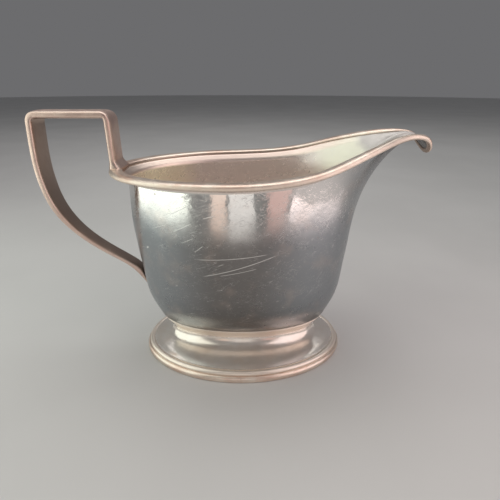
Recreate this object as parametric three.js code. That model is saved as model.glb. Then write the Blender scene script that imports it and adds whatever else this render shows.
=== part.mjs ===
// A silver-plated cream jug: an oval bowl raised in one with its pouring lip,
// a moulded border round the mouth, a cast strap handle, and an oval foot with
// a border of its own. The pieces are soldered together, so nothing moves.
// Millimetres, +X towards the lip, +Z up. Shapes are drawn about the centre of
// the foot, and the finished group is shifted to stand centred on its length.

import * as THREE from 'three';
import { ParametricGeometry } from 'three/addons/geometries/ParametricGeometry.js';
import { mergeVertices } from 'three/addons/utils/BufferGeometryUtils.js';

// Driving dimensions
const FOOT_HALF_LENGTH = 42.2;
const FOOT_HALF_WIDTH = 28.7;
const FOOT_WIRE_WIDTH = 2.4;
const FOOT_WIRE_HEIGHT = 2.7;
const MOUTH_HALF_LENGTH = 48.1; // from the foot's centre to the back of the mouth
const MOUTH_HALF_WIDTH = 32.4;
const MOUTH_HEIGHT = 77.4; // at the widest place
const MOUTH_BACK_DROP = 0.7;
const BORDER_WIDTH = 4.8;
const BORDER_THICKNESS = 2.3;
const LIP_BORDER_THICKNESS = 1.9;
const BOWL_WALL = 1.2;
const BEVEL_WIDTH = 1.6; // of the slope inside the border, down to the bowl's wall
const BEVEL_DROP = 2.6;
const LIP_BEVEL_DROP = 0.8;
const JOINT_GAP = 0.3; // room for the solder between two pieces
const HANDLE_WIDTH = 10.4;
const HANDLE_TAIL_WIDTH = 6.0;
const STRAP = 2.3; // thickness of the handle's bar and post
const BAR_TOP = 96.8; // the highest place of the jug
const POST_OUTER = -44.8;
const POST_FOOT = 78.5;
const CORNER = 3.6;
const ARM_TAPER = [34, 80]; // heights between which the handle's arm narrows
const TAIL_TAPER = [26, 35]; // and those between which its end draws to a point
const TAIL_POINT = 0.3; // share of the width left at the point
const CENTRE_SHIFT = 3.2; // from the foot's centre to the middle of the length

// Triangle counts
const AROUND_BOWL = 64;
const AROUND_FOOT = 48;
const SECTION_SIDES = 8;
const BOWL_ROWS = 36;
const FOOT_ROWS = 20;

const UP = new THREE.Vector3(0, 0, 1);
const vec = (x, y, z) => new THREE.Vector3(x, y, z);
const mix = THREE.MathUtils.lerp;

// ---------- closed surfaces ----------

// A parametric surface whose seams and poles meet, welded into one closed body.
function closedBody(pointAt, around, along) {
  const surface = new ParametricGeometry(
    (u, v, target) => target.copy(pointAt(u, v)),
    around,
    along,
  );
  surface.deleteAttribute('normal');
  surface.deleteAttribute('uv');
  const welded = mergeVertices(surface, 1e-4);
  const corners = [];
  for (let i = 0; i < welded.index.count; i += 3) {
    const face = [0, 1, 2].map((k) => welded.index.getX(i + k));
    if (new Set(face).size === 3) corners.push(...face);
  }
  welded.setIndex(corners);
  if (signedVolume(welded) < 0) {
    for (let i = 0; i < corners.length; i += 3) {
      [corners[i], corners[i + 1]] = [corners[i + 1], corners[i]];
    }
    welded.setIndex(corners);
  }
  return welded;
}

function signedVolume(geometry) {
  const place = geometry.attributes.position;
  const corner = [vec(), vec(), vec()];
  let volume = 0;
  for (let i = 0; i < geometry.index.count; i += 3) {
    corner.forEach((c, k) => c.fromBufferAttribute(place, geometry.index.getX(i + k)));
    volume += corner[0].dot(corner[1].clone().cross(corner[2])) / 6;
  }
  return volume;
}

// A point on a smooth run of rings, each ring being half length, half width, height.
function ringRun(rings) {
  const run = new THREE.CatmullRomCurve3(rings.map((r) => vec(...r)));
  return (v) => run.getPoint(v);
}

// ---------- the mouth ----------

// Half of the mouth's outer edge, from the back to the tip of the lip. Each knot
// holds the place, the matching direction on the bowl in degrees, the border's
// width, its lean in degrees (down into the lip's trough is negative), how far
// the wall has turned outwards into the lip, and the wall's heading where it
// arrives at the mouth.
const MOUTH_KNOTS = [];
for (const angle of [180, 162, 144, 126, 108, 90]) {
  const turn = THREE.MathUtils.degToRad(angle);
  const x = MOUTH_HALF_LENGTH * Math.cos(turn);
  MOUTH_KNOTS.push({
    at: [x, MOUTH_HALF_WIDTH * Math.sin(turn), MOUTH_HEIGHT + MOUTH_BACK_DROP * Math.cos(turn)],
    angle,
    width: BORDER_WIDTH,
    lean: 0,
    flare: 0,
    heading: [0, 0, 8],
  });
}
MOUTH_KNOTS.push(
  { at: [13.0, 31.3, 78.2], angle: 73, width: 4.8, lean: 0, flare: 0, heading: [0, 0, 8] },
  { at: [25.5, 28.4, 80.3], angle: 56, width: 4.6, lean: -3, flare: 0.1, heading: [1, 1, 9] },
  { at: [37.0, 23.0, 83.9], angle: 41, width: 4.1, lean: -8, flare: 0.3, heading: [3, 2, 9] },
  { at: [47.0, 16.6, 87.1], angle: 29, width: 3.2, lean: -16, flare: 0.6, heading: [6, 2.5, 8] },
  { at: [54.6, 11.2, 88.8], angle: 20, width: 2.5, lean: -18, flare: 0.9, heading: [8, 2, 5] },
  { at: [60.2, 8.6, 88.9], angle: 14, width: 2.3, lean: -4, flare: 1, heading: [8.5, 1.5, 1.5] },
  { at: [64.4, 7.2, 87.2], angle: 9.5, width: 2.1, lean: 32, flare: 1, heading: [7, 1, -3.5] },
  { at: [66.5, 4.8, 84.2], angle: 5, width: 1.9, lean: 62, flare: 1, heading: [4.5, 0.5, -7] },
  { at: [67.1, 0, 82.4], angle: 0, width: 1.8, lean: 72, flare: 1, heading: [3, 0, -8.5] },
);

// Runs a value of the knots round the whole mouth, mirrored on the second half.
function roundTheMouth(valueOf) {
  const half = MOUTH_KNOTS.map(valueOf);
  const mirrored = half.slice(1, -1).reverse().map((p) => vec(p.x, -p.y, p.z));
  return new THREE.CatmullRomCurve3([...half, ...mirrored], true, 'catmullrom', 0.5);
}

const mouthEdge = roundTheMouth((k) => vec(...k.at));
const mouthTurn = roundTheMouth((k) => {
  const turn = THREE.MathUtils.degToRad(k.angle);
  return vec(Math.cos(turn), Math.sin(turn), 0);
});
// Width, lean and flare are even across the jug, so they ride in x and z.
const borderShape = roundTheMouth((k) => vec(k.width, 0, k.lean));
const wallFlare = roundTheMouth((k) => vec(k.flare, 0, 0));
const wallHeading = roundTheMouth((k) => vec(...k.heading));

const MOUTH_MIDDLE = vec(5, 0, 0); // inwards is always towards it
const ALONG_STEP = 0.001;

// The border's own frame: the outer edge, the way inwards across its width, and
// the way up through its thickness.
function mouthFrame(u) {
  const t = u % 1;
  const edge = mouthEdge.getPoint(t);
  const ahead = mouthEdge.getPoint((t + ALONG_STEP) % 1);
  const behind = mouthEdge.getPoint((t + 1 - ALONG_STEP) % 1);
  const along = ahead.sub(behind).normalize();
  const shape = borderShape.getPoint(t);
  const lean = THREE.MathUtils.degToRad(shape.z);
  const level = vec(along.y, -along.x, 0).normalize();
  if (level.dot(edge.clone().sub(MOUTH_MIDDLE)) > 0) level.negate();
  const inwards = level.multiplyScalar(Math.cos(lean)).addScaledVector(UP, Math.sin(lean));
  inwards.addScaledVector(along, -inwards.dot(along)).normalize();
  const through = along.clone().cross(inwards).normalize();
  if (through.dot(vec(Math.sin(Math.max(lean, 0)), 0, Math.cos(lean))) < 0) through.negate();
  return { edge, inwards, through, width: shape.x, flare: wallFlare.getPoint(t).x };
}

// ---------- rim border ----------

const SQUARENESS = 0.8; // 1 makes the section an ellipse, and less makes it fuller

function rimBorder() {
  const soft = (value) => Math.sign(value) * Math.abs(value) ** SQUARENESS;
  return closedBody((u, v) => {
    const { edge, inwards, through, width, flare } = mouthFrame(u);
    const turn = 2 * Math.PI * (v % 1);
    const thickness = mix(BORDER_THICKNESS, LIP_BORDER_THICKNESS, flare);
    return edge
      .clone()
      .addScaledVector(inwards, width * 0.5 * (1 - soft(Math.cos(turn))))
      .addScaledVector(through, thickness * 0.5 * soft(Math.sin(turn)));
  }, AROUND_BOWL, SECTION_SIDES);
}

// ---------- bowl ----------

// Rings of the bowl's outside, from its bottom to where the lip begins to grow.
const BOWL_RINGS = [
  [20, 8, 13.4],
  [31, 12.6, 13.6],
  [33.5, 14.4, 14.2],
  [35.2, 17.8, 17],
  [37.2, 22.2, 22.5],
  [39.1, 24.8, 28.3],
  [40.35, 26.3, 39],
  [41.2, 26.9, 47],
  [41.8, 27.1, 54],
];
const bowlRing = ringRun(BOWL_RINGS);
const TUB_SHARE = 0.5; // how much of the outside's run is below the lip's start
const WALL_SHARE = 0.92; // and how much is below the bevel
const WALL_RISE = 8; // how far the wall keeps the tub's slope, at the back
const LIP_RISE = 26; // and below the lip
const NORMAL_STEP = 0.002;

// A point of the bowl's outside: v runs from the bottom's middle to the mouth.
function bowlOutside(u, v) {
  const turn = mouthTurn.getPoint(u % 1).normalize();
  if (v < TUB_SHARE) {
    const ring = bowlRing(v / TUB_SHARE);
    return vec(ring.x * turn.x, ring.y * turn.y, ring.z);
  }
  const { edge, inwards, through, width, flare } = mouthFrame(u);
  const brim = edge
    .clone()
    .addScaledVector(inwards, width + JOINT_GAP)
    .addScaledVector(through, -0.5 * BOWL_WALL);
  const wallTop = edge
    .clone()
    .addScaledVector(inwards, width + BEVEL_WIDTH)
    .addScaledVector(through, -mix(BEVEL_DROP, LIP_BEVEL_DROP, flare));
  if (v > WALL_SHARE) return wallTop.lerp(brim, (v - WALL_SHARE) / (1 - WALL_SHARE));
  const [halfLength, halfWidth, height] = BOWL_RINGS.at(-1);
  const start = vec(halfLength * turn.x, halfWidth * turn.y, height);
  const rise = start.clone().add(vec(0.6 * turn.x, 0.3 * turn.y, mix(WALL_RISE, LIP_RISE, flare)));
  const arrive = wallTop.clone().sub(wallHeading.getPoint(u % 1));
  const meridian = new THREE.CubicBezierCurve3(start, rise, arrive, wallTop);
  return meridian.getPoint((v - TUB_SHARE) / (WALL_SHARE - TUB_SHARE));
}

// The same point on the inside, one wall thickness along the surface's normal.
function bowlInside(u, v) {
  const here = bowlOutside(u, v);
  const across = bowlOutside(u + NORMAL_STEP, v).sub(bowlOutside(u + 1 - NORMAL_STEP, v));
  const low = Math.max(v - NORMAL_STEP, 0);
  const high = Math.min(v + NORMAL_STEP, 1);
  const upwards = bowlOutside(u, high).sub(bowlOutside(u, low));
  const normal = across.cross(upwards).normalize();
  return here.addScaledVector(normal, BOWL_WALL);
}

function bowl() {
  const floor = vec(0, 0, BOWL_RINGS[0][2]);
  const inner = floor.clone().addScaledVector(UP, BOWL_WALL);
  const steps = BOWL_ROWS / 2 - 1;
  return closedBody((u, v) => {
    const row = Math.round(v * BOWL_ROWS);
    if (row === 0) return floor;
    if (row === BOWL_ROWS) return inner;
    if (row <= steps + 1) return bowlOutside(u, (row - 1) / steps);
    return bowlInside(u, (BOWL_ROWS - row) / steps);
  }, AROUND_BOWL, BOWL_ROWS);
}

// ---------- foot ----------

const FOOT_OUTSIDE = [
  [41.0, 27.5, 3.8],
  [38.6, 25.0, 4.3],
  [35.4, 21.6, 5.0],
  [32.2, 17.6, 6.0],
  [30.0, 14.0, 7.6],
  [30.1, 12.8, 9.6],
  [31.4, 12.9, 11.6],
  [33.0, 13.7, 13.2],
];
const FOOT_SHEET = 0.8;
const WAIST_RING = 4; // the ring from which the sheet stands upright

function foot() {
  const outside = ringRun(FOOT_OUTSIDE);
  const inside = ringRun(
    FOOT_OUTSIDE.map(([length, width, height], i) => {
      const inset = FOOT_SHEET * Math.min(i / WAIST_RING, 1);
      return [length - inset, width - inset, height - FOOT_SHEET + inset];
    }),
  );
  const half = FOOT_ROWS / 2;
  return closedBody((u, v) => {
    const turn = 2 * Math.PI * (u % 1);
    const row = Math.round(v * FOOT_ROWS) % FOOT_ROWS;
    const ring = row < half ? outside(row / (half - 1)) : inside((FOOT_ROWS - 1 - row) / (half - 1));
    return vec(ring.x * Math.cos(turn), ring.y * Math.sin(turn), ring.z);
  }, AROUND_FOOT, FOOT_ROWS);
}

// The border under the foot's edge: flat beneath, stepped and rounded outside.
function footWire() {
  const section = [
    [0.5, 0],
    [FOOT_WIRE_WIDTH - 0.3, 0],
    [FOOT_WIRE_WIDTH, 0.4],
    [FOOT_WIRE_WIDTH, FOOT_WIRE_HEIGHT],
    [0.9, FOOT_WIRE_HEIGHT],
    [0.4, FOOT_WIRE_HEIGHT - 0.4],
    [0.05, 1.8],
    [0, 1.1],
    [0.15, 0.4],
  ];
  return closedBody((u, v) => {
    const turn = 2 * Math.PI * (u % 1);
    const [inset, height] = section[Math.round(v * section.length) % section.length];
    const length = FOOT_HALF_LENGTH - inset;
    const width = FOOT_HALF_WIDTH - inset;
    return vec(length * Math.cos(turn), width * Math.sin(turn), height);
  }, AROUND_FOOT, section.length);
}

// ---------- handle ----------

// The arm's outer line from the upper corner to the point on the bowl's wall, the
// end that lies against the wall, and the inner line back up to the bar.
const ARM_OUTSIDE = [
  [-73.9, 86.0],
  [-74.1, 78.8],
  [-73.5, 71.2],
  [-71.6, 63.2],
  [-67.6, 56.0],
  [-61.6, 49.5],
  [-52.9, 42.9],
  [-45.4, 37.6],
  [-41.4, 32.6],
  [-39.7, 28.8],
];
const ARM_END = [
  [-39.9, 31.0],
  [-40.3, 34.0],
  [-40.65, 37.2],
];
const ARM_INSIDE = [
  [-45.4, 39.5],
  [-52.0, 44.3],
  [-60.2, 50.6],
  [-65.8, 57.0],
  [-69.4, 64.0],
  [-71.2, 71.5],
  [-71.8, 79.0],
  [-71.5, 86.5],
  [-70.7, BAR_TOP - STRAP],
];
const BAR_END = [-70.2, -73.4]; // where the bar's top bends down into the arm, and the bend's end
const BEND_PULL = -73.0;
const POINT_INSIDE = [-39.5, 28.9];
const POST_FLARE = [1.6, 0.4, 2.4]; // how far the post's foot spreads, its lift and its height

function handle() {
  const outline = new THREE.Shape();
  const runThrough = (points) => outline.splineThru(points.map((p) => new THREE.Vector2(...p)));
  const [spread, lift, flareTop] = POST_FLARE;
  outline.moveTo(POST_OUTER, POST_FOOT + flareTop);
  outline.lineTo(POST_OUTER, BAR_TOP - CORNER);
  outline.quadraticCurveTo(POST_OUTER, BAR_TOP, POST_OUTER - CORNER, BAR_TOP);
  outline.lineTo(BAR_END[0], BAR_TOP);
  outline.quadraticCurveTo(BEND_PULL, BAR_TOP, BAR_END[1], BAR_TOP - CORNER);
  runThrough(ARM_OUTSIDE);
  outline.lineTo(...POINT_INSIDE);
  runThrough(ARM_END);
  runThrough(ARM_INSIDE);
  outline.lineTo(POST_OUTER - STRAP, BAR_TOP - STRAP);
  outline.lineTo(POST_OUTER - STRAP, POST_FOOT);
  outline.lineTo(POST_OUTER + spread, POST_FOOT);
  outline.quadraticCurveTo(POST_OUTER, POST_FOOT + lift, POST_OUTER, POST_FOOT + flareTop);

  const strap = new THREE.ExtrudeGeometry(outline, {
    depth: HANDLE_WIDTH,
    curveSegments: 5,
    bevelEnabled: false,
  });
  strap.translate(0, 0, -0.5 * HANDLE_WIDTH);
  strap.rotateX(0.5 * Math.PI);
  // The strap narrows down its lower arm and ends in a point on the bowl.
  const place = strap.attributes.position;
  for (let i = 0; i < place.count; i += 1) {
    const height = place.getZ(i);
    const arm = THREE.MathUtils.smoothstep(height, ...ARM_TAPER);
    const tail = THREE.MathUtils.smoothstep(height, ...TAIL_TAPER);
    const width = mix(HANDLE_TAIL_WIDTH, HANDLE_WIDTH, arm) * mix(TAIL_POINT, 1, tail);
    place.setY(i, (place.getY(i) * width) / HANDLE_WIDTH);
  }
  return strap;
}

// ---------- the jug ----------

function piece(name, geometry, colour, roughness) {
  const finish = new THREE.MeshStandardMaterial({ color: colour, roughness, metalness: 1 });
  const mesh = new THREE.Mesh(geometry, finish);
  mesh.name = name;
  return mesh;
}

const jug = new THREE.Group();
jug.add(
  piece('bowl', bowl(), 0xc9c4bd, 0.25),
  piece('rim_border', rimBorder(), 0xd9bfae, 0.3),
  piece('handle', handle(), 0xd6bba9, 0.32),
  piece('foot', foot(), 0xd2c8bd, 0.22),
  piece('foot_border', footWire(), 0xcfb7a6, 0.3),
);
jug.position.x = CENTRE_SHIFT;

export default jug;
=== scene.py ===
"""A silver-plated cream jug: an oval bowl raised in one with its curled pouring lip, a rounded border round
the mouth, a cast strap handle, and a spreading oval foot with a wire round its edge.

The pieces are shaped in millimetres about the middle of the foot, with +X towards the lip, and are put in
metres in the frame's place when each is finished.
"""

import math
from types import SimpleNamespace

import bmesh
import bpy
import numpy as np
from mathutils import Matrix, Vector, noise


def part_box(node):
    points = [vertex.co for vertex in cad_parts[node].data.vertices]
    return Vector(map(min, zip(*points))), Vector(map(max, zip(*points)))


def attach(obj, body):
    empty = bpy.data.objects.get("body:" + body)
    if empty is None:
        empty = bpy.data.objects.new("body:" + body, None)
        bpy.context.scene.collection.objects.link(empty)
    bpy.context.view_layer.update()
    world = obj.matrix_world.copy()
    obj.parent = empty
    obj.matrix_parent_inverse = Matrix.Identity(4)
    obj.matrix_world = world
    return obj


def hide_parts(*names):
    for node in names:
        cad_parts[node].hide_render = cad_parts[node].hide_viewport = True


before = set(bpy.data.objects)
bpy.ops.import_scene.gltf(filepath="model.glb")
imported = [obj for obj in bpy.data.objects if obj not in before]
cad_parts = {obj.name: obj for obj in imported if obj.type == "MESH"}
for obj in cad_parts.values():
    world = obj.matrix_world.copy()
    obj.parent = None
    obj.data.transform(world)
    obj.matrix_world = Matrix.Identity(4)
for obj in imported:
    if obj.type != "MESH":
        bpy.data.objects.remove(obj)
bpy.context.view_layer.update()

MM = 0.001

# ---------- driving sizes, in millimetres ----------

foot_low, foot_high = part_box("foot_border")
rim_low, rim_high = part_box("rim_border")
_, handle_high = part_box("handle")

CENTRE_X = (foot_low.x + foot_high.x) / 2 / MM
FOOT_HALF_LENGTH = (foot_high.x - foot_low.x) / 2 / MM
FOOT_HALF_WIDTH = foot_high.y / MM
MOUTH_HALF_LENGTH = CENTRE_X - rim_low.x / MM
MOUTH_HALF_WIDTH = rim_high.y / MM
BAR_TOP = handle_high.z / MM
HANDLE_HALF_WIDTH = handle_high.y / MM

MOUTH_HEIGHT = 77.4
MOUTH_BACK_DROP = 0.7
BORDER_WIDTH = 4.8
BORDER_THICKNESS = 2.3
LIP_BORDER_THICKNESS = 2.4
LIP_WIDTH = 3.4  # where the border is narrower than this, it is thinner too
SHEET = 0.8  # thickness of the bowl's wall
STRAP = 2.3  # thickness of the handle's edge
BORDER_SQUARENESS = 0.8  # 1 makes a section an ellipse, and less makes it fuller
STRAP_SIDES_SQUARENESS = 0.28
STRAP_FACES_SQUARENESS = 0.5

SEATS = 360  # places round the mouth
FOOT_SEATS = 240


# ---------- curves ----------


def smooth_run(knots, closed=False, measured=3):
    """A curve of even bend through the knots. It gives the knots' values at a share of the way, which is
    measured along their first few values."""
    rows = np.array(knots, float)
    if closed:
        rows = np.vstack([rows, rows[:1]])
    gaps = np.linalg.norm(np.diff(rows[:, :measured], axis=0), axis=1)
    marks = np.concatenate([[0], np.cumsum(gaps)])
    steps = np.diff(rows, axis=0) / gaps[:, None]
    last = len(rows) - 1
    pull, rates = np.zeros((last + 1, last + 1)), np.zeros_like(rows)
    for i in range(1, last):
        pull[i, i - 1 : i + 2] = gaps[i], 2 * (gaps[i - 1] + gaps[i]), gaps[i - 1]
        rates[i] = 3 * (gaps[i] * steps[i - 1] + gaps[i - 1] * steps[i])
    if closed:
        pull[0, [last - 1, 0, 1]] = gaps[0], 2 * (gaps[0] + gaps[-1]), gaps[-1]
        rates[0] = 3 * (gaps[0] * steps[-1] + gaps[-1] * steps[0])
        pull[last, [0, last]] = 1, -1
    else:
        pull[0, :2] = pull[last, last:last - 2:-1] = 2, 1
        rates[0], rates[last] = 3 * steps[0], 3 * steps[-1]
    slopes = np.linalg.solve(pull, rates)

    def at(share):
        way = (share % 1 if closed else min(max(share, 0), 1)) * marks[-1]
        i = min(int(np.searchsorted(marks, way, "right")) - 1, last - 1)
        t = (way - marks[i]) / gaps[i]
        return (
            (1 + 2 * t) * (1 - t) ** 2 * rows[i]
            + t * (1 - t) ** 2 * gaps[i] * slopes[i]
            + t * t * (3 - 2 * t) * rows[i + 1]
            + t * t * (t - 1) * gaps[i] * slopes[i + 1]
        )

    return at


def unit(v):
    return v / np.linalg.norm(v)


def mix(a, b, share):
    return a + (b - a) * share


def smoothstep(low, high, value):
    t = min(max((value - low) / (high - low), 0), 1)
    return t * t * (3 - 2 * t)


def bend(start, pull, end, share):
    """A point of the quadratic arc from start to end."""
    s = 1 - share
    return s * s * start + 2 * s * share * pull + share * share * end


def squared(value, power):
    """A sine or cosine drawn towards its ends, for a section fuller than an ellipse."""
    return math.copysign(abs(value) ** power, value)


def shares(count):
    """Even shares of a stretch, without its start."""
    return np.linspace(0, 1, count + 1)[1:]


# ---------- mesh ----------

SAME_PLACE = 1e-5


def grow_rings(rings, marks=None):
    """A skin grown from a circle ring by ring, each ring a row of places in millimetres. Rings that meet are
    merged, so a first or last ring drawn in to one place closes the skin. A mark is a value for each
    place."""
    bm = bmesh.new()
    seat = bm.verts.layers.int.new("seat")
    layers = {name: bm.verts.layers.float.new(name) for name in marks or {}}
    circle = bmesh.ops.create_circle(bm, segments=len(rings[0]), radius=1)["verts"]
    for number, vert in enumerate(circle):
        vert[seat] = number
    verts, edges = circle, bm.edges[:]
    for row, ring in enumerate(rings):
        if row:
            grown = bmesh.ops.extrude_edge_only(bm, edges=edges)["geom"]
            verts = [g for g in grown if isinstance(g, bmesh.types.BMVert)]
            edges = [g for g in grown if isinstance(g, bmesh.types.BMEdge) and g.is_boundary]
        for vert in verts:
            vert.co = ring[vert[seat]]
            for name, layer in layers.items():
                vert[layer] = marks[name][row][vert[seat]]
    bmesh.ops.remove_doubles(bm, verts=bm.verts[:], dist=SAME_PLACE)
    bmesh.ops.recalc_face_normals(bm, faces=bm.faces[:])
    return bm


def drawn_in(ring, share):
    """The ring drawn in towards its middle."""
    middle = np.mean(ring, axis=0)
    return middle + (ring - middle) * share


def oval(length, width, height):
    turns = np.arange(FOOT_SEATS) * 2 * math.pi / FOOT_SEATS
    return np.stack([length * np.cos(turns), width * np.sin(turns), np.full(FOOT_SEATS, height)], axis=1)


def finish_piece(bm, name, node, finish):
    """Puts a finished shape in its place in metres, as a piece that stands for its CAD node."""
    bmesh.ops.scale(bm, vec=(MM, MM, MM), verts=bm.verts[:])
    bmesh.ops.translate(bm, vec=(CENTRE_X * MM, 0, 0), verts=bm.verts[:])
    for face in bm.faces:
        face.smooth = True
    mesh = bpy.data.meshes.new(name)
    bm.to_mesh(mesh)
    bm.free()
    mesh.materials.append(finish)
    piece = bpy.data.objects.new(name, mesh)
    bpy.context.scene.collection.objects.link(piece)
    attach(piece, "root")
    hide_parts(node)


# ---------- the mouth ----------

# From the widest place to the tip of the lip: the place on the outer edge, the matching direction on the
# bowl in degrees, the border's width, its lean into the lip's trough, how far the wall has turned outwards
# into the lip, and the wall's heading where it arrives.
LIP_KNOTS = [
    (13.0, 31.3, 78.2, 73, 4.8, 0, 0, 0, 0, 8),
    (25.5, 28.4, 80.3, 56, 4.6, -3, 0.1, 1, 1, 9),
    (37.0, 23.0, 83.9, 41, 4.4, -8, 0.3, 3, 2, 9),
    (47.0, 16.6, 87.1, 29, 3.8, -16, 0.6, 6, 2.5, 8),
    (54.6, 11.2, 88.8, 20, 3.2, -18, 0.9, 8, 2, 5),
    (60.2, 8.6, 88.9, 14, 2.8, -4, 1, 8.5, 1.5, 1.5),
    (64.4, 7.2, 87.2, 9.5, 2.4, 32, 1, 7, 1, -3.5),
    (66.5, 4.8, 84.2, 5, 2.1, 62, 1, 4.5, 0.5, -7),
    (67.1, 0.0, 82.4, 0, 2.0, 72, 1, 3, 0, -8.5),
]
BACK_TURNS = (180, 162, 144, 126, 108, 90)  # from the back to the widest place, in degrees
BACK_HEADING = 8
MOUTH_MIDDLE = np.array([5.0, 0, 0])
ALONG_STEP = 0.001


def mouth_knots():
    half = []
    for angle in BACK_TURNS:
        turn = math.radians(angle)
        x, y = MOUTH_HALF_LENGTH * math.cos(turn), MOUTH_HALF_WIDTH * math.sin(turn)
        z = MOUTH_HEIGHT + MOUTH_BACK_DROP * math.cos(turn)
        half.append((x, y, z, angle, BORDER_WIDTH, 0, 0, 0, 0, BACK_HEADING))
    half += LIP_KNOTS
    mirrored = [
        (x, -y, z, -angle, width, lean, flare, ahead, -aside, up)
        for x, y, z, angle, width, lean, flare, ahead, aside, up in half[-2:0:-1]
    ]
    turns = [math.radians(knot[3]) for knot in half + mirrored]
    return [
        (*knot[:3], math.cos(turn), math.sin(turn), *knot[4:])
        for knot, turn in zip(half + mirrored, turns)
    ]


def mouth_frames():
    """For each seat, the outer edge's place and the ways inwards across the border and up through it."""
    run = smooth_run(mouth_knots(), closed=True)
    frames = []
    for seat in range(SEATS):
        share = seat / SEATS
        values = run(share)
        edge, turn, heading = values[:3], unit(values[3:5]), values[8:11]
        width, lean, flare = values[5], math.radians(values[6]), min(max(values[7], 0), 1)
        along = unit((run(share + ALONG_STEP) - run(share - ALONG_STEP))[:3])
        level = unit(np.array([along[1], -along[0], 0]))
        if level @ (edge - MOUTH_MIDDLE) > 0:
            level = -level
        inwards = level * math.cos(lean) + np.array([0, 0, math.sin(lean)])
        inwards = unit(inwards - along * (inwards @ along))
        through = np.cross(along, inwards)
        if through @ np.array([math.sin(max(lean, 0)), 0, math.cos(lean)]) < 0:
            through = -through
        frames.append(
            SimpleNamespace(
                edge=edge,
                inwards=inwards,
                through=through,
                turn=turn,
                width=width,
                flare=flare,
                heading=heading,
            )
        )
    return frames


MOUTH = mouth_frames()


def off_edge(at, inset, rise):
    """A place this far in from the mouth's outer edge and this far above it."""
    return at.edge + at.inwards * inset + at.through * rise


# ---------- bowl ----------

# Rings of the bowl's outside, from its bottom to where the lip begins: half length, half width, height.
TUB_RINGS = [
    (31, 12.6, 13.6),
    (33.5, 14.4, 14.2),
    (35.2, 17.8, 17),
    (37.2, 22.2, 22.5),
    (39.1, 24.8, 28.3),
    (40.35, 26.3, 39),
    (41.2, 26.9, 47),
    (41.8, 27.1, 54),
]
TUB_ROWS = 44
WALL_ROWS = 30
WALL_RISE = 8  # how far the wall keeps the tub's slope, at the back
LIP_RISE = 24  # and below the lip
WALL_INSET = 1.4  # from the border's inner edge out to the wall's top
BEVEL_DROP = 2.6
LIP_BEVEL_DROP = 0.8
BRIM_TUCK = 0.5  # how far the brim reaches in under the border
BRIM_DROP = 0.7
LIP_BRIM_SHARE = 0.5
BRIM_SHARES = (0.08, 0.2, 0.45, 0.75, 1)
BRIM_ROWS = 5.6  # rows of the brim, on each side of its edge
FLOOR_SHARES = (0, 0.3, 0.65, 0.9)  # the rings of the bowl's floor, from its middle
WAVER = 0.035  # the uneven hand of the hammer, in millimetres
WAVER_SCALES = (0.07, 0.19)
FINE_WAVER = 0.4
TIP_FLARE = (0.55, 1)  # where the painted shade under the lip is at its darkest
UNDER_FROM = TUB_ROWS + 12
PLAIN_FLARE = (0.1, 0.7)


def tub_line(at, run):
    rings = np.array([run(row / TUB_ROWS) for row in range(TUB_ROWS + 1)])
    return rings * np.array([at.turn[0], at.turn[1], 1])


def wall_line(at, start, slope):
    """From the tub's top ring up to the mouth, sweeping out where the lip is."""
    rise = start + slope * mix(WALL_RISE, LIP_RISE, at.flare) / slope[2]
    top = off_edge(at, at.width + WALL_INSET, -mix(BEVEL_DROP, LIP_BEVEL_DROP, at.flare))
    arrive = top - at.heading
    line = []
    for row in range(1, WALL_ROWS + 1):
        t = row / WALL_ROWS
        s = 1 - t
        line.append(s**3 * start + 3 * s * s * t * rise + 3 * s * t * t * arrive + t**3 * top)
    return line


def brim_line(at, top):
    """The short slope from the wall's top out under the border."""
    brim = off_edge(at, at.width - BRIM_TUCK, -BRIM_DROP * mix(1, LIP_BRIM_SHARE, at.flare))
    return [mix(top, brim, share) for share in BRIM_SHARES]


def bowl_outside():
    """Rows of places on the bowl's outside, from the rim of its floor to its brim."""
    run = smooth_run(TUB_RINGS)
    columns = []
    for at in MOUTH:
        tub = tub_line(at, run)
        wall = wall_line(at, tub[-1], tub[-1] - tub[-2])
        columns.append([*tub, *wall, *brim_line(at, wall[-1])])
    return np.array(columns).transpose(1, 0, 2)


def grid_normals(rows):
    """The way out of the skin at each place."""
    around = np.roll(rows, -1, 1) - np.roll(rows, 1, 1)
    upwards = np.gradient(rows, axis=0)
    normals = np.cross(upwards, around)
    normals /= np.linalg.norm(normals, axis=2, keepdims=True)
    outwards = rows[len(rows) // 3, :, :2] * normals[len(rows) // 3, :, :2]
    return normals if outwards.sum() > 0 else -normals


def wavered(rows, normals):
    """The skin with the slight unevenness of raised and polished sheet."""
    moved = rows.copy()
    wide, fine = WAVER_SCALES
    for row, ring in enumerate(rows):
        for seat, place in enumerate(ring):
            swell = noise.noise(Vector(place) * wide) + FINE_WAVER * noise.noise(Vector(place) * fine)
            moved[row, seat] += normals[row, seat] * swell * WAVER
    return moved


def bowl_marks(rows, outer_rows):
    """Marks for the bowl's finish: its inside, the underside of the lip, where shade is painted, and the
    rubbed brim.
    """
    tip = np.array([smoothstep(*TIP_FLARE, at.flare) for at in MOUTH])
    plain = np.array([1 - smoothstep(*PLAIN_FLARE, at.flare) for at in MOUTH])
    marks = {"inner": [], "under": [], "brim": []}
    for row in range(rows):
        marks["inner"].append(np.full(SEATS, float(row >= outer_rows)))
        risen = smoothstep(UNDER_FROM, TUB_ROWS + WALL_ROWS, row)
        marks["under"].append(tip * risen * (row < outer_rows))
        marks["brim"].append(plain * (abs(row - outer_rows + 0.5) < BRIM_ROWS))
    return marks


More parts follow.
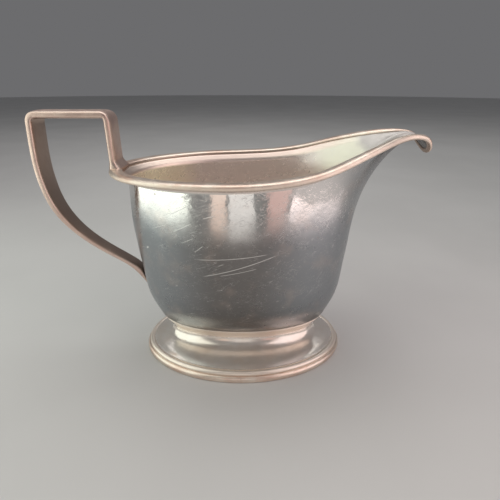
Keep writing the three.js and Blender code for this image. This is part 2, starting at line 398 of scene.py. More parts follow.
def make_bowl(finish):
    outside = bowl_outside()
    normals = grid_normals(outside)
    outside = wavered(outside, normals)
    inside = (outside - normals * SHEET)[::-1]
    floor_out = [drawn_in(outside[0], share) for share in FLOOR_SHARES]
    floor_in = [drawn_in(inside[-1], share) for share in FLOOR_SHARES[::-1]]
    rings = [*floor_out, *outside, *inside, *floor_in]
    marks = bowl_marks(len(rings), len(floor_out) + len(outside))
    finish_piece(grow_rings(rings, marks), "bowl_shell", "bowl", finish)


# ---------- border round the mouth ----------

BORDER_SIDES = 32
BORDER_PAINTED_SHADE = 0.75  # how far the border's underside and its inner edge are darkened by painted shade
SHADED_UNDERSIDE = (0.3, 0.8)
SHADED_INNER_EDGE = (0.88, 0.98)
BORDER_TIP = (61, 66)  # along the jug, where the painted shade under the tip is darker still
TIP_UNDERSIDE = (0, 0.5)
WEAR_AND_HIGHLIGHT_LEAN = 0.4  # how far over its top the border's cream mark reaches, partly wear and partly a painted highlight, in radians


def border_depth(at):
    lip_depth = LIP_BORDER_THICKNESS * min(at.width / LIP_WIDTH, 1)
    return mix(BORDER_THICKNESS, lip_depth, at.flare)


def make_rim_border(finish):
    rings, wear_and_highlight, shade = [], [], []
    tip = np.array([smoothstep(*BORDER_TIP, at.edge[0]) for at in MOUTH])
    for side in range(BORDER_SIDES + 1):
        turn = 2 * math.pi * side / BORDER_SIDES
        across = 0.5 * (1 - squared(math.cos(turn), BORDER_SQUARENESS))
        rise = 0.5 * squared(math.sin(turn), BORDER_SQUARENESS)
        ring = [off_edge(at, at.width * across, border_depth(at) * rise) for at in MOUTH]
        rings.append(np.array(ring))
        # Cream over the border's top: partly wear, partly a painted highlight.
        wear_and_highlight.append(np.full(SEATS, max(math.cos(turn + WEAR_AND_HIGHLIGHT_LEAN), 0.0)))
        # Painted shade along the border's underside and inner edge, darker still under the tip.
        below = -math.sin(turn)
        underside_and_edge_shade = max(smoothstep(*SHADED_UNDERSIDE, below), smoothstep(*SHADED_INNER_EDGE, across))
        shade.append(np.maximum(tip * smoothstep(*TIP_UNDERSIDE, below), BORDER_PAINTED_SHADE * underside_and_edge_shade))
    bm = grow_rings(rings, {"wear_and_highlight": wear_and_highlight, "shade": shade})
    finish_piece(bm, "rim_border_bead", "rim_border", finish)


# ---------- foot ----------

# The foot's edge, as inset from the wire's outside and height: the band above the wire.
FOOT_BAND = [
    (1.9, 2.3),
    (1.25, 2.6),
    (1.0, 3.1),
    (1.15, 3.6),
    (1.6, 4.0),
    (2.2, 4.2),
    (2.8, 4.2),
    (3.05, 4.05),
]
# Then the dome, the cove and the collar under the bowl: half length, half width, height.
FOOT_RINGS = [
    (38.9, 25.3, 4.1),
    (37.4, 23.8, 4.6),
    (35.4, 21.5, 5.05),
    (33.4, 18.9, 5.5),
    (31.7, 16.3, 6.15),
    (30.6, 14.5, 7.2),
    (30.1, 13.3, 8.6),
    (30.4, 12.95, 9.8),
    (31.3, 13.15, 11.1),
    (32.5, 13.8, 12.3),
    (33.6, 14.6, 13.5),
]
COLLAR_FROM = 9.6  # the collar's height, above which it takes the cream edge mark as a painted sheen
FOOT_SHEET = 0.8
FOOT_ROWS = 48
WIRE_SECTION = [
    (0.6, 0.0),
    (0.2, 0.3),
    (0.0, 0.9),
    (0.0, 1.4),
    (0.2, 2.0),
    (0.65, 2.45),
    (1.2, 2.6),
    (1.8, 2.45),
    (2.3, 2.0),
    (2.3, 0.4),
    (1.9, 0.0),
]
WIRE_SIDES = 28


def make_foot(finish):
    band = [oval(FOOT_HALF_LENGTH - inset, FOOT_HALF_WIDTH - inset, z) for inset, z in FOOT_BAND]
    run = smooth_run(FOOT_RINGS)
    sweep = [oval(*run(row / FOOT_ROWS)) for row in range(FOOT_ROWS + 1)]
    outside = np.array([*band, *sweep])
    inside = (outside - grid_normals(outside) * FOOT_SHEET)[::-1]
    rings = [*outside, *inside, outside[0]]
    # The band above the wire and the collar take the cream edge mark: partly wear, partly a painted
    # highlight and sheen.
    edges = [float(row < len(band) or ring[0, 2] > COLLAR_FROM) for row, ring in enumerate(rings)]
    bm = grow_rings(rings, {"wear_and_highlight": [np.full(FOOT_SEATS, edge) for edge in edges]})
    finish_piece(bm, "foot_shell", "foot", finish)


def make_foot_wire(finish):
    run = smooth_run(WIRE_SECTION, closed=True, measured=2)
    section = [run(side / WIRE_SIDES) for side in range(WIRE_SIDES + 1)]
    rings = [oval(FOOT_HALF_LENGTH - inset, FOOT_HALF_WIDTH - inset, max(z, 0)) for inset, z in section]
    finish_piece(grow_rings(rings), "foot_border_wire", "foot_border", finish)


# ---------- handle ----------

POST_OUTER = -44.8  # the outer line of the post, along the jug
POST_FOOT = 77.2
CORNER = 3.9  # how far round the outer corner of post and bar reaches
TIGHT_CORNER = 0.5  # and the inner one
BAR_END = -69.6
ARM_CORNERS = (-73.2, -71.0)  # where the bar's outer and inner lines would meet the arm's
POST_STATIONS, CORNER_STATIONS, BAR_STATIONS, ARM_STATIONS = 24, 12, 21, 89
ARM_OUTSIDE = [
    (-73.4, 92.9),
    (-73.9, 86.0),
    (-74.1, 78.8),
    (-73.5, 71.2),
    (-71.6, 63.2),
    (-67.6, 56.0),
    (-61.6, 49.5),
    (-52.9, 42.9),
    (-45.4, 37.6),
    (-41.4, 32.6),
    (-39.7, 28.8),
]
ARM_INSIDE = [
    (-71.1, 92.3),
    (-71.5, 86.5),
    (-71.8, 79.0),
    (-71.2, 71.5),
    (-69.4, 64.0),
    (-65.8, 57.0),
    (-60.2, 50.6),
    (-52.0, 44.3),
    (-45.4, 39.9),
    (-41.6, 36.6),
    (-39.4, 28.6),
]
SECTION_SIDES = 40
CROWN = 0.22  # share by which the strap's faces swell in the middle
TAIL_HALF_WIDTH = 3.0
POINT_SHARE = 0.25  # the tail's width at its point
ARM_TAPER = (34, 80)
TAIL_TAPER = (26, 35)
SPREAD = 1.7  # how far the post's base spreads outwards
SPREAD_HEIGHTS = (POST_FOOT, 81.2)
SPREAD_INSIDE, SPREAD_SIDEWAYS = 0.1, 0.6  # shares of it on the other sides
END_SHARE = 0.6  # the ring halfway in on each end's flat face


def strap_corner(outer, inner):
    """Stations round a corner, from the three places that its outer and its inner line bend by."""
    outer = [np.array(place) for place in outer]
    inner = [np.array(place) for place in inner]
    return [(bend(*outer, share), bend(*inner, share)) for share in shares(CORNER_STATIONS)]


def post_stations():
    """The post, from its foot, and the corner where it turns into the bar."""
    inner_x, inner_z = POST_OUTER - STRAP, BAR_TOP - STRAP
    corner_z = BAR_TOP - CORNER
    tight_x, tight_z = inner_x - TIGHT_CORNER, inner_z - TIGHT_CORNER
    heights = np.linspace(POST_FOOT, corner_z, POST_STATIONS)
    post = [((POST_OUTER, z), (inner_x, min(z, tight_z))) for z in heights]
    outer = (POST_OUTER, corner_z), (POST_OUTER, BAR_TOP), (POST_OUTER - CORNER, BAR_TOP)
    inner = (inner_x, tight_z), (inner_x, inner_z), (tight_x, inner_z)
    return post + strap_corner(outer, inner)


def bar_stations():
    """The level bar, and the corner where it turns into the arm."""
    tight_x, inner_z = POST_OUTER - STRAP - TIGHT_CORNER, BAR_TOP - STRAP
    places = np.linspace(POST_OUTER - CORNER, BAR_END, BAR_STATIONS + 1)[1:]
    bar = [((x, BAR_TOP), (min(x, tight_x), inner_z)) for x in places]
    outer = (BAR_END, BAR_TOP), (ARM_CORNERS[0], BAR_TOP), ARM_OUTSIDE[0]
    inner = (BAR_END, inner_z), (ARM_CORNERS[1], inner_z), ARM_INSIDE[0]
    return bar + strap_corner(outer, inner)


def arm_stations():
    outer, inner = smooth_run(ARM_OUTSIDE, measured=2), smooth_run(ARM_INSIDE, measured=2)
    return [(outer(share), inner(share)) for share in shares(ARM_STATIONS)]


def as_arrays(stations):
    return [(np.array(outer, float), np.array(inner, float)) for outer, inner in stations]


def strap_half_width(z, on_post):
    if on_post:
        return HANDLE_HALF_WIDTH
    width = mix(TAIL_HALF_WIDTH, HANDLE_HALF_WIDTH, smoothstep(*ARM_TAPER, z))
    return width * mix(POINT_SHARE, 1, smoothstep(*TAIL_TAPER, z))


def strap_section(outer, inner, half_width):
    """A crowned, round-edged section between an outer and an inner place of the strap."""
    middle, half = (outer + inner) / 2, (outer - inner) / 2
    ring = []
    for side in range(SECTION_SIDES):
        turn = 2 * math.pi * side / SECTION_SIDES
        across = squared(math.cos(turn), STRAP_SIDES_SQUARENESS)
        out = squared(math.sin(turn), STRAP_FACES_SQUARENESS)
        out *= 1 + CROWN * (1 - across * across)
        x, z = middle + half * out
        ring.append((x, across * half_width, z))
    return np.array(ring)


def strap_rings():
    """The strap's sections from the post's foot to the tail's point, closed at both ends."""
    post = post_stations()
    stations = as_arrays([*post, *bar_stations(), *arm_stations()])
    rings = []
    for number, (outer, inner) in enumerate(stations):
        on_post = number < len(post)
        spread_here = SPREAD * (1 - smoothstep(*SPREAD_HEIGHTS, outer[1])) ** 2 if on_post else 0
        outer = outer + np.array([spread_here, 0])
        inner = inner - np.array([SPREAD_INSIDE * spread_here, 0])
        half_width = strap_half_width(outer[1], on_post) + SPREAD_SIDEWAYS * spread_here
        rings.append(strap_section(outer, inner, half_width))
    start = [drawn_in(rings[0], share) for share in (0, END_SHARE)]
    end = [drawn_in(rings[-1], share) for share in (END_SHARE, 0)]
    return [*start, *rings, *end]


def make_handle(finish):
    rings = strap_rings()
    turns = [2 * math.pi * side / SECTION_SIDES for side in range(SECTION_SIDES)]
    # Cream along the strap's outer edges is partly wear and partly a painted highlight; the inner face takes
    # a painted shade.
    wear_and_highlight = [max(2 * abs(math.cos(turn)) * math.sin(turn), 0.0) ** 2 for turn in turns]
    shade = [max(-math.sin(turn), 0.0) for turn in turns]
    bm = grow_rings(rings, {"wear_and_highlight": [wear_and_highlight] * len(rings), "shade": [shade] * len(rings)})
    finish_piece(bm, "handle_casting", "handle", finish)


# ---------- finishes ----------

SILVER = (0.80, 0.785, 0.765)
# The next two are painted shade on the lower bowl, lighter towards the ends as a painted reflection.
HAZE_AND_PAINTED_SHADE = (0.215, 0.205, 0.20)
HAZE_AND_PAINTED_SHADE_ENDS = (0.34, 0.36, 0.38)
# Painted shade just above the foot.
PAINTED_SHADE_ABOVE_FOOT = (0.15, 0.14, 0.135)
# Painted shade under the lip.
UNDER_LIP_PAINTED_SHADE = (0.10, 0.09, 0.085)
WARM = (0.78, 0.60, 0.50)
CREAM = (0.88, 0.77, 0.67)
BROWN = (0.34, 0.25, 0.20)
PINK = (0.88, 0.72, 0.64)
STRAW = (0.95, 0.86, 0.70)
STAIN = (0.80, 0.72, 0.69)
PALE_YELLOW = (0.92, 0.90, 0.78)
TROUGH_GREY = (0.60, 0.575, 0.555)
BRIGHT = (0.93, 0.92, 0.90)
FOOT_PLATE, FOOT_BASE = (0.94, 0.89, 0.83), (0.90, 0.81, 0.73)
HANDLE_PLATE, HANDLE_BASE = (0.82, 0.64, 0.55), (0.72, 0.53, 0.46)
FLOOR_TONES = (0.56, 0.56, 0.555), (0.60, 0.60, 0.595)


def add_node(tree, kind, inputs=None, **settings):
    made = tree.nodes.new("ShaderNode" + kind)
    for name, value in settings.items():
        setattr(made, name, value)
    for name, value in (inputs or {}).items():
        if isinstance(value, bpy.types.NodeSocket):
            tree.links.new(value, made.inputs[name])
        else:
            made.inputs[name].default_value = value
    return made


def math_node(tree, operation, a, b=0.0):
    return add_node(tree, "Math", {0: a, 1: b}, operation=operation).outputs[0]


def plus(tree, a, b):
    return math_node(tree, "ADD", a, b)


def minus(tree, a, b):
    return math_node(tree, "SUBTRACT", a, b)


def times(tree, a, b):
    return math_node(tree, "MULTIPLY", a, b)


def size_of(tree, value):
    return math_node(tree, "ABSOLUTE", value)


def add_weighed(tree, total, parts):
    """The total with each value of the parts added by its weight."""
    for value, weight in parts:
        total = plus(tree, total, times(tree, value, weight))
    return total


def mark_of(tree, name):
    """A mark that the piece's mesh carries."""
    return add_node(tree, "Attribute", attribute_name=name).outputs["Fac"]


def spread(tree, value, low, high, start=0.0, end=1.0):
    """The value's stretch from low to high, drawn out from start to end."""
    inputs = {"Value": value, "From Min": low, "From Max": high, "To Min": start, "To Max": end}
    return add_node(tree, "MapRange", inputs, interpolation_type="SMOOTHSTEP").outputs["Result"]


def blend_colours(tree, share, a, b):
    made = add_node(tree, "Mix", {"Factor": share}, data_type="RGBA")
    for socket, colour in ((made.inputs[6], a), (made.inputs[7], b)):
        if isinstance(colour, bpy.types.NodeSocket):
            tree.links.new(colour, socket)
        else:
            socket.default_value = (*colour, 1)
    return made.outputs[2]


def cloud(tree, place, scale, detail=2.0, rough=0.5):
    inputs = {"Vector": place, "Scale": scale, "Detail": detail, "Roughness": rough}
    return add_node(tree, "TexNoise", inputs).outputs["Fac"]


def drifting(tree, place, value, scale, detail, rough, reach):
    """The value with an uneven drift added, so that what follows it has a ragged edge."""
    drift = minus(tree, cloud(tree, place, scale, detail, rough), 0.5)
    return plus(tree, value, times(tree, drift, reach))


CLOUD_RANGE = (0.3, 0.7)  # the values that a cloud mostly keeps to
FINE_CLOUD = (4, 0.6)  # detail and roughness of a cloud with small parts
PATCH_SCALE = 0.25  # the patches that scratches come in, against the scratches' own closeness
PATCH_EDGE = (0.52, 0.6)


def fine_scratches(tree, place, turn, scale, width, length):
    """Thin straight marks along one direction, in patches: the crests of a drawn-out noise. The direction is
    that of the turned upright."""
    settings = {"Vector": place, "Rotation": turn, "Scale": (1, 1, length)}
    laid = add_node(tree, "Mapping", settings, vector_type="TEXTURE").outputs[0]
    off = size_of(tree, minus(tree, cloud(tree, laid, scale, 1), 0.5))
    line = spread(tree, off, 0, width, 1, 0)
    return times(tree, line, spread(tree, cloud(tree, place, scale * PATCH_SCALE), *PATCH_EDGE))


def pits(tree, place, scale, share, size):
    """Small round marks, in some cells of an even scatter."""
    cells = add_node(tree, "TexVoronoi", {"Vector": place, "Scale": scale})
    here = math_node(tree, "LESS_THAN", cells.outputs["Color"], share)
    return times(tree, here, spread(tree, cells.outputs["Distance"], 0, size, 1, 0))


SCRATCH_SAG = 2.0  # how much a long scratch curves
SCRATCH_ENDS = (0.4, 0.5)  # where it fades out, as shares of its length from its middle


def long_scratch(tree, parts, start, end, width):
    """One mark across the near side, between two places given as distance along and height, in
    millimetres."""
    x, y, z = parts
    (x0, z0), (x1, z1) = start, end
    length = math.hypot(x1 - x0, z1 - z0)
    ux, uz = (x1 - x0) / length, (z1 - z0) / length
    dx = minus(tree, x, (x0 + x1) / 2 * MM)
    dz = minus(tree, z, (z0 + z1) / 2 * MM)
    along = plus(tree, times(tree, dx, ux), times(tree, dz, uz))
    off = minus(tree, times(tree, dz, ux), times(tree, dx, uz))
    sag = times(tree, times(tree, along, along), SCRATCH_SAG)
    line = spread(tree, size_of(tree, minus(tree, off, sag)), 0, width * MM, 1, 0)
    full, gone = (share * length * MM for share in SCRATCH_ENDS)
    within = spread(tree, size_of(tree, along), full, gone, 1, 0)
    near = math_node(tree, "LESS_THAN", y, 0)
    return times(tree, times(tree, line, within), near)


def start_finish(name):
    finish = bpy.data.materials.new(name)
    finish.use_nodes = True
    tree = finish.node_tree
    shader = tree.nodes["Principled BSDF"]
    shader.inputs["Metallic"].default_value = 1
    return finish, tree, shader, add_node(tree, "TexCoord").outputs["Object"]


def add_bump(tree, shader, height, depth):
    bump = add_node(tree, "Bump", {"Height": height, "Distance": depth, "Strength": 1.0})
    tree.links.new(bump.outputs["Normal"], shader.inputs["Normal"])


# ---------- the bowl's finish ----------

# Where each tone of the outside begins and where it is full, in metres. Two more numbers are the shares of
# the tone there, where they aren't 0 and 1.
# The lower bowl is rougher here, and its colour is darkened as painted shade, easing towards the ends as a
# painted reflection.
HAZE_AND_SHADE_EDGE = (0.070, 0.052)
HAZE_AND_SHADE_RAGGED = (90, 4, 0.6, 0.010)  # the cloud that its edge follows, and how far, in metres
HAZE_AND_SHADE_CLIMB = 0.16  # how steeply it rises towards the ends of the bowl
SHADE_EASING_TOWARDS_ENDS = (0.004, 0.028)
LIP_HAZE_AND_SHADE = (0.030, 0.046, 0, 0.8)  # the outside of the lip, rougher and darkened by painted shade
SHADE_ABOVE_FOOT_SPAN = (0.025, 0.015, 0, 0.75)  # painted shade just above the foot
WARM_SCALE = 120
WARM_PATCHES = (0.5, 0.75, 0, 0.16)  # values of a cloud, and shares
UNDER_LIP_SHARE = 0.9

# Inside, after the straw tone at the handle's end: where each tone begins and where it is full.
INSIDE_TONES = [
    (-0.030, -0.010, STAIN),
    (0.026, 0.040, PALE_YELLOW),
    (0.046, 0.054, TROUGH_GREY),
]
INSIDE_RAGGED = (60, 3, 0.5, 0.03)
INSIDE_FILM = 0.42  # how much of the inside's shine a dull film takes

# Fine scratches: the turn of their direction, closeness, width and length.
BOWL_SCRATCHES = [
    ((0.2, 1.2, 0), 900, 0.010, 30),
    ((-0.1, 0.7, 0.3), 1100, 0.010, 30),
    ((0.2, -1.1, 0), 1200, 0.010, 24),
]
SPARSE_SCRATCHES = ((0.1, 1.15, 0), 700, 0.006, 40)
SPARSE_SHARE = 0.6

# Long ones on the near side: both ends, as distance along and height, and the width, in millimetres.
LONG_SCRATCHES = [
    ((-13.0, 51.0), (12.0, 53.5), 0.16),
    ((-11.0, 44.5), (15.0, 53.0), 0.19),
    ((-5.0, 45.5), (8.0, 48.5), 0.13),
    ((-21.0, 66.0), (-13.5, 70.0), 0.14),
    ((-20.0, 60.5), (-13.5, 64.0), 0.14),
    ((-13.0, 54.0), (-10.0, 56.5), 0.14),
    ((-27.0, 60.5), (-22.5, 62.5), 0.09),
    ((-17.0, 57.0), (-13.0, 59.0), 0.09),
    ((-9.5, 66.0), (-5.5, 67.0), 0.08),
    # The last is a small dent: its hollow is in the bump, and its bright spot is a painted highlight.
    ((-31.3, 51.5), (-30.5, 52.3), 0.45),
]

# Pits: closeness, the share of cells that have one, and size.
SMALL_PITS = (420, 0.14, 0.22)
DEEP_PITS = (150, 0.10, 0.10)

# How much of its colour each mark shows.
BRIM_TINT = 0.85
SCRATCH_TINT = 0.32
LONG_TINT = 0.85
PIT_TINT = 0.5

POLISH = (0.07, 0.13)  # least and greatest roughness of the polished plate
POLISH_SCALE = 260
HAZE_ROUGHNESS = 0.20
SCRATCH_ROUGHNESS = 0.10
LONG_ROUGHNESS = 0.25
BRIM_ROUGHNESS = 0.12
TROUGH_ROUGHNESS = (0.02, 0.055, 0.14, 0.26)  # from and to along the jug, and the roughness there

BOWL_RELIEF = 0.00006  # metres
RIPPLE, RIPPLE_SCALE = 0.75, 420
SCRATCH_DEPTH = 0.12
LONG_DEPTH = 0.3
SMALL_PIT_DEPTH = 0.5


def bowl_haze_and_shade(tree, place, parts):
    """The lower part of the bowl, rougher and darkened by painted shade, with a ragged upper edge that rises
    towards the ends.
    """
    ragged = drifting(tree, place, parts[2], *HAZE_AND_SHADE_RAGGED)
    ragged = minus(tree, ragged, times(tree, size_of(tree, parts[0]), HAZE_AND_SHADE_CLIMB))
    below_lip = spread(tree, parts[0], *LIP_HAZE_AND_SHADE)
    return math_node(tree, "MAXIMUM", spread(tree, ragged, *HAZE_AND_SHADE_EDGE), below_lip)


def bowl_outside_colour(tree, place, parts, haze_and_shade):
    # The lower bowl's darker colour is painted shade, lighter towards the ends as a painted reflection.
    hazed_and_shaded = blend_colours(tree, spread(tree, size_of(tree, parts[0]), *SHADE_EASING_TOWARDS_ENDS), HAZE_AND_PAINTED_SHADE, HAZE_AND_PAINTED_SHADE_ENDS)
    colour = blend_colours(tree, haze_and_shade, SILVER, hazed_and_shaded)
    # Painted shade just above the foot.
    colour = blend_colours(tree, spread(tree, parts[2], *SHADE_ABOVE_FOOT_SPAN), colour, PAINTED_SHADE_ABOVE_FOOT)
    warm = spread(tree, cloud(tree, place, WARM_SCALE, 4), *WARM_PATCHES)
    colour = blend_colours(tree, warm, colour, WARM)
    # Painted shade under the lip.
    under = times(tree, mark_of(tree, "under"), UNDER_LIP_SHARE)
    return blend_colours(tree, under, colour, UNDER_LIP_PAINTED_SHADE)


def bowl_inside_colour(tree, place, parts):
    along = drifting(tree, place, parts[0], *INSIDE_RAGGED)
    colour = STRAW
    for begins, full, tone in INSIDE_TONES:
        colour = blend_colours(tree, spread(tree, along, begins, full), colour, tone)
    return colour


def bowl_scratches(tree, place):
    """The fine scratches all over the bowl, added together."""
    first, *others = [fine_scratches(tree, place, *scratches) for scratches in BOWL_SCRATCHES]
    for other in others:
        first = plus(tree, first, other)
    return first


def bowl_cuts(tree, place, parts):
    """The long scratches across the near side, and sparse ones all over."""
    cuts = times(tree, fine_scratches(tree, place, *SPARSE_SCRATCHES), SPARSE_SHARE)
    for start, end, width in LONG_SCRATCHES:
        cuts = math_node(tree, "MAXIMUM", cuts, long_scratch(tree, parts, start, end, width))
    return cuts


def bowl_roughness(tree, place, parts, inner, worn_by):
    rough = spread(tree, cloud(tree, place, POLISH_SCALE, *FINE_CLOUD), *CLOUD_RANGE, *POLISH)
    rough = add_weighed(tree, rough, worn_by)
    return plus(tree, rough, times(tree, inner, spread(tree, parts[0], *TROUGH_ROUGHNESS)))


def bowl_height(tree, place, marks, cuts, dots, deep):
    height = times(tree, cloud(tree, place, RIPPLE_SCALE, 2), RIPPLE)
    height = minus(tree, height, times(tree, marks, SCRATCH_DEPTH))
    height = minus(tree, height, times(tree, dots, SMALL_PIT_DEPTH))
    return minus(tree, height, plus(tree, deep, times(tree, cuts, LONG_DEPTH)))


def bowl_finish():
    finish, tree, shader, place = start_finish("bowl_silver_plate")
    split = add_node(tree, "SeparateXYZ", {0: place}).outputs
    parts = (split["X"], split["Y"], split["Z"])
    inner, brim = mark_of(tree, "inner"), mark_of(tree, "brim")
    haze_and_shade = bowl_haze_and_shade(tree, place, parts)
    marks = bowl_scratches(tree, place)
    cuts = bowl_cuts(tree, place, parts)
    outer = minus(tree, 1.0, inner)
    dots = times(tree, outer, pits(tree, place, *SMALL_PITS))
    deep = times(tree, outer, pits(tree, place, *DEEP_PITS))
    outside = bowl_outside_colour(tree, place, parts, haze_and_shade)
    colour = blend_colours(tree, inner, outside, bowl_inside_colour(tree, place, parts))
    colour = blend_colours(tree, times(tree, brim, BRIM_TINT), colour, PINK)
    colour = blend_colours(tree, times(tree, marks, SCRATCH_TINT), colour, BRIGHT)
    colour = blend_colours(tree, times(tree, cuts, LONG_TINT), colour, BRIGHT)
    colour = blend_colours(tree, times(tree, plus(tree, dots, deep), PIT_TINT), colour, BROWN)
    tree.links.new(colour, shader.inputs["Base Color"])
    film = times(tree, minus(tree, inner, brim), INSIDE_FILM)
    tree.links.new(minus(tree, 1.0, film), shader.inputs["Metallic"])
    worn_by = [
        (haze_and_shade, HAZE_ROUGHNESS),
        (marks, SCRATCH_ROUGHNESS),
        (cuts, LONG_ROUGHNESS),
        (brim, BRIM_ROUGHNESS),
    ]
    rough = bowl_roughness(tree, place, parts, inner, worn_by)
    tree.links.new(rough, shader.inputs["Roughness"])
    add_bump(tree, shader, bowl_height(tree, place, marks, cuts, dots, deep), BOWL_RELIEF)
    return finish


# ---------- the other finishes ----------

WORN_PATCHES = (0.38, 0.66)
WORN_PATCH_SCALE = 110
EDGE_WEAR_AND_HIGHLIGHT = (0.75, 1, 0, 0.75)  # from and to of the edge's mark, and the share of the cream tone, partly wear and partly a painted highlight
SHADED = (0.35, 0.9, 0, 0.8)
SPECK_EDGE = (0.66, 0.76)
SPECK_SCALE = 1300
SPECK_GROUPS = (0.5, 0.66)
SPECK_GROUP_SCALE = 240
SPECK_TINT = 0.5
WORN_PITS = (560, 0.06, 0.2)
WORN_PIT_TINT = 0.6
WORN_ROUGH_SCALE = 500
SPECK_ROUGHNESS = 0.12
EDGE_ROUGHNESS = 0.14
WORN_SCRATCHES = ((0.4, 0.6, 0.2), 1400, 0.012, 14)
WORN_SCRATCH_DEPTH = 0.2
WORN_RIPPLE = 0.5
WORN_RELIEF = 0.00003  # metres


def speckle(tree, place, more):
    """Fine specks in loose groups, and more of them for a greater value."""
    low, high = (edge - more for edge in SPECK_EDGE)
    specks = spread(tree, cloud(tree, place, SPECK_SCALE, 3, 0.7), low, high)
    groups = spread(tree, cloud(tree, place, SPECK_GROUP_SCALE, 2), *SPECK_GROUPS)
    return times(tree, specks, groups)


def wear_highlight_and_shade_finish(name, plate, base, more_specks, rough_range, metal=0.9):
    """Plate rubbed through to the warm metal below in patches and specks, and polished along the edges,
    where a cream tone is partly wear and partly a painted highlight; the shade mark gives a painted shade.
    """
    finish, tree, shader, place = start_finish(name)
    shader.inputs["Metallic"].default_value = metal
    edge, shade = mark_of(tree, "wear_and_highlight"), mark_of(tree, "shade")
    patch = spread(tree, cloud(tree, place, WORN_PATCH_SCALE, *FINE_CLOUD), *WORN_PATCHES)
    specks = speckle(tree, place, more_specks)
    dots = pits(tree, place, *WORN_PITS)
    colour = blend_colours(tree, patch, plate, base)
    # Cream along the edges is partly wear and partly a painted highlight; brown where shaded is painted
    # shade.
    colour = blend_colours(tree, spread(tree, edge, *EDGE_WEAR_AND_HIGHLIGHT), colour, CREAM)
    colour = blend_colours(tree, spread(tree, shade, *SHADED), colour, BROWN)
    colour = blend_colours(tree, times(tree, specks, SPECK_TINT), colour, BROWN)
    colour = blend_colours(tree, times(tree, dots, WORN_PIT_TINT), colour, BROWN)
    tree.links.new(colour, shader.inputs["Base Color"])
    uneven = cloud(tree, place, WORN_ROUGH_SCALE, *FINE_CLOUD)
    rough = spread(tree, uneven, *CLOUD_RANGE, *rough_range)
    rough = add_weighed(tree, rough, [(specks, SPECK_ROUGHNESS), (edge, EDGE_ROUGHNESS)])
    tree.links.new(rough, shader.inputs["Roughness"])
    marks = fine_scratches(tree, place, *WORN_SCRATCHES)
    height = times(tree, cloud(tree, place, RIPPLE_SCALE, 2), WORN_RIPPLE)
    height = plus(tree, height, specks)
    height = plus(tree, height, times(tree, marks, WORN_SCRATCH_DEPTH))
    height = plus(tree, height, dots)
    add_bump(tree, shader, times(tree, height, -1), WORN_RELIEF)
    return finish


# ---------- the studio ----------

FLOOR_RADIUS, FLOOR_SIDES = 3, 96  # metres, and sides
FLOOR_ROUGHNESS = 0.7
FLOOR_SCALE = 9
WORLD_GLOW = (0.15, 0.15, 0.155, 1)

# Bearing in degrees from the near side towards the lip, distance, heights of bottom and top, width,
# brightness of the face, and colour, in metres.
SOFTBOXES = [
    ("softbox_left", -74, 0.25, (0.004, 0.60), 0.36, 1.2, (0.94, 1.0, 0.90)),
    ("softbox_right", 58, 0.24, (0.004, 0.55), 0.24, 1.2, (1.0, 0.84, 0.82)),
    ("strip_cream", -16.5, 0.20, (0.008, 0.10), 0.036, 0.65, (1.0, 0.74, 0.60)),
    ("strip_white", 0, 0.15, (0.008, 0.12), 0.046, 0.62, (1.0, 0.96, 0.92)),
    ("strip_pink", 23, 0.20, (0.008, 0.10), 0.040, 0.45, (1.0, 0.54, 0.46)),
]
# Place, tilt in degrees about the jug's length, length, width, brightness and colour.
TOP_LIGHTS = [
    ("softbox_above", (0, 0.02, 0.85), 0, 0.6, 0.5, 0.8, (1.0, 0.95, 0.90)),
    ("softbox_top", (0, 0.32, 0.825), -12, 0.9, 0.55, 1.6, (1.0, 0.98, 0.96)),
]


def pale_finish():
    finish, tree, shader, place = start_finish("pale_floor")
    shader.inputs["Metallic"].default_value = 0
    tone = spread(tree, cloud(tree, place, FLOOR_SCALE, 3), *CLOUD_RANGE)
    tree.links.new(blend_colours(tree, tone, *FLOOR_TONES), shader.inputs["Base Color"])
    shader.inputs["Roughness"].default_value = FLOOR_ROUGHNESS
    return finish


def make_floor():
    bm = bmesh.new()
    bmesh.ops.create_circle(bm, cap_ends=True, segments=FLOOR_SIDES, radius=FLOOR_RADIUS)
    mesh = bpy.data.meshes.new("floor")
    bm.to_mesh(mesh)
    bm.free()
    mesh.materials.append(pale_finish())
    floor = bpy.data.objects.new("floor", mesh)
    bpy.context.scene.collection.objects.link(floor)


def soft_light(name, length, width, brightness, colour):
    light = bpy.data.lights.new(name, "AREA")
    light.shape = "RECTANGLE"
    light.size, light.size_y = length, width
    light.energy = brightness * math.pi * light.size * light.size_y
    light.color = colour
    return light


def hang(name, light, place, turn):
    holder = bpy.data.objects.new(name, light)
    holder.location = place
    holder.rotation_euler = turn
    holder.visible_camera = False
    bpy.context.scene.collection.objects.link(holder)


def add_softbox(name, bearing, distance, span, width, brightness, colour):
    """A soft light that stands by the jug and glows both ways, so that the floor behind it isn't left
    dark."""
    turn = math.radians(bearing)
    out = Vector((math.sin(turn), -math.cos(turn), 0))
    bottom, top = span
    light = soft_light(name, width, top - bottom, brightness, colour)
    place = out * distance + Vector((0, 0, (bottom + top) / 2))
    for facing, way in (("", -out), ("_back", out)):
        hang(name + facing, light, place, way.to_track_quat("-Z", "Y").to_euler())


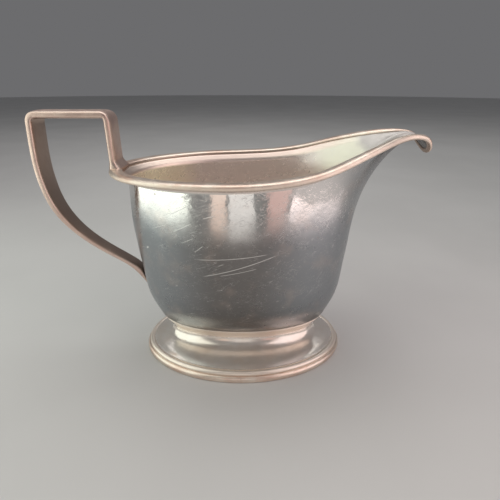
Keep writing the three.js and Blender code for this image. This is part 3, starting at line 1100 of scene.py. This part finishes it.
def light_studio():
    world = bpy.data.worlds.new("studio")
    world.use_nodes = True
    world.node_tree.nodes["Background"].inputs["Color"].default_value = WORLD_GLOW
    bpy.context.scene.world = world
    for softbox in SOFTBOXES:
        add_softbox(*softbox)
    for name, place, tilt, length, width, brightness, colour in TOP_LIGHTS:
        light = soft_light(name, length, width, brightness, colour)
        hang(name, light, place, (math.radians(tilt), 0, 0))
    bpy.context.scene.view_settings.view_transform = "Standard"


CAMERA_PLACE = (3.4, -139.2, 106.4)  # millimetres in the frame
CAMERA_PITCH, CAMERA_YAW, CAMERA_ROLL = 24.32, 1.07, -0.11
CAMERA_LENS, SENSOR = 27.07, 36.0
CAMERA_REACH = (0.005, 20)  # metres


def place_camera():
    pitch, yaw, roll = (math.radians(a) for a in (CAMERA_PITCH, CAMERA_YAW, CAMERA_ROLL))
    ahead = Vector((math.sin(yaw) * math.cos(pitch), math.cos(yaw) * math.cos(pitch), -math.sin(pitch)))
    right = Vector((math.cos(yaw), -math.sin(yaw), 0))
    down = ahead.cross(right)
    right, down = (
        math.cos(roll) * right + math.sin(roll) * down,
        math.cos(roll) * down - math.sin(roll) * right,
    )
    data = bpy.data.cameras.new("camera")
    data.lens, data.sensor_width = CAMERA_LENS, SENSOR
    data.clip_start, data.clip_end = CAMERA_REACH
    camera = bpy.data.objects.new("camera", data)
    turn = Matrix((right, -down, -ahead)).transposed()
    camera.matrix_world = Matrix.Translation(Vector(CAMERA_PLACE) * MM) @ turn.to_4x4()
    bpy.context.scene.collection.objects.link(camera)
    bpy.context.scene.camera = camera


place_camera()
light_studio()
make_floor()
make_bowl(bowl_finish())
make_rim_border(
    wear_highlight_and_shade_finish("border_wear_and_painted_light_plate", CREAM, WARM, more_specks=0.05, rough_range=(0.30, 0.42))
)
make_foot(
    wear_highlight_and_shade_finish("foot_plate", FOOT_PLATE, FOOT_BASE, more_specks=-0.1, rough_range=(0.15, 0.24), metal=0.7)
)
make_foot_wire(
    wear_highlight_and_shade_finish("foot_wire_plate", CREAM, WARM, more_specks=-0.02, rough_range=(0.28, 0.38))
)
make_handle(
    wear_highlight_and_shade_finish("handle_wear_and_painted_light_plate", HANDLE_PLATE, HANDLE_BASE, more_specks=0.05, rough_range=(0.28, 0.40))
)
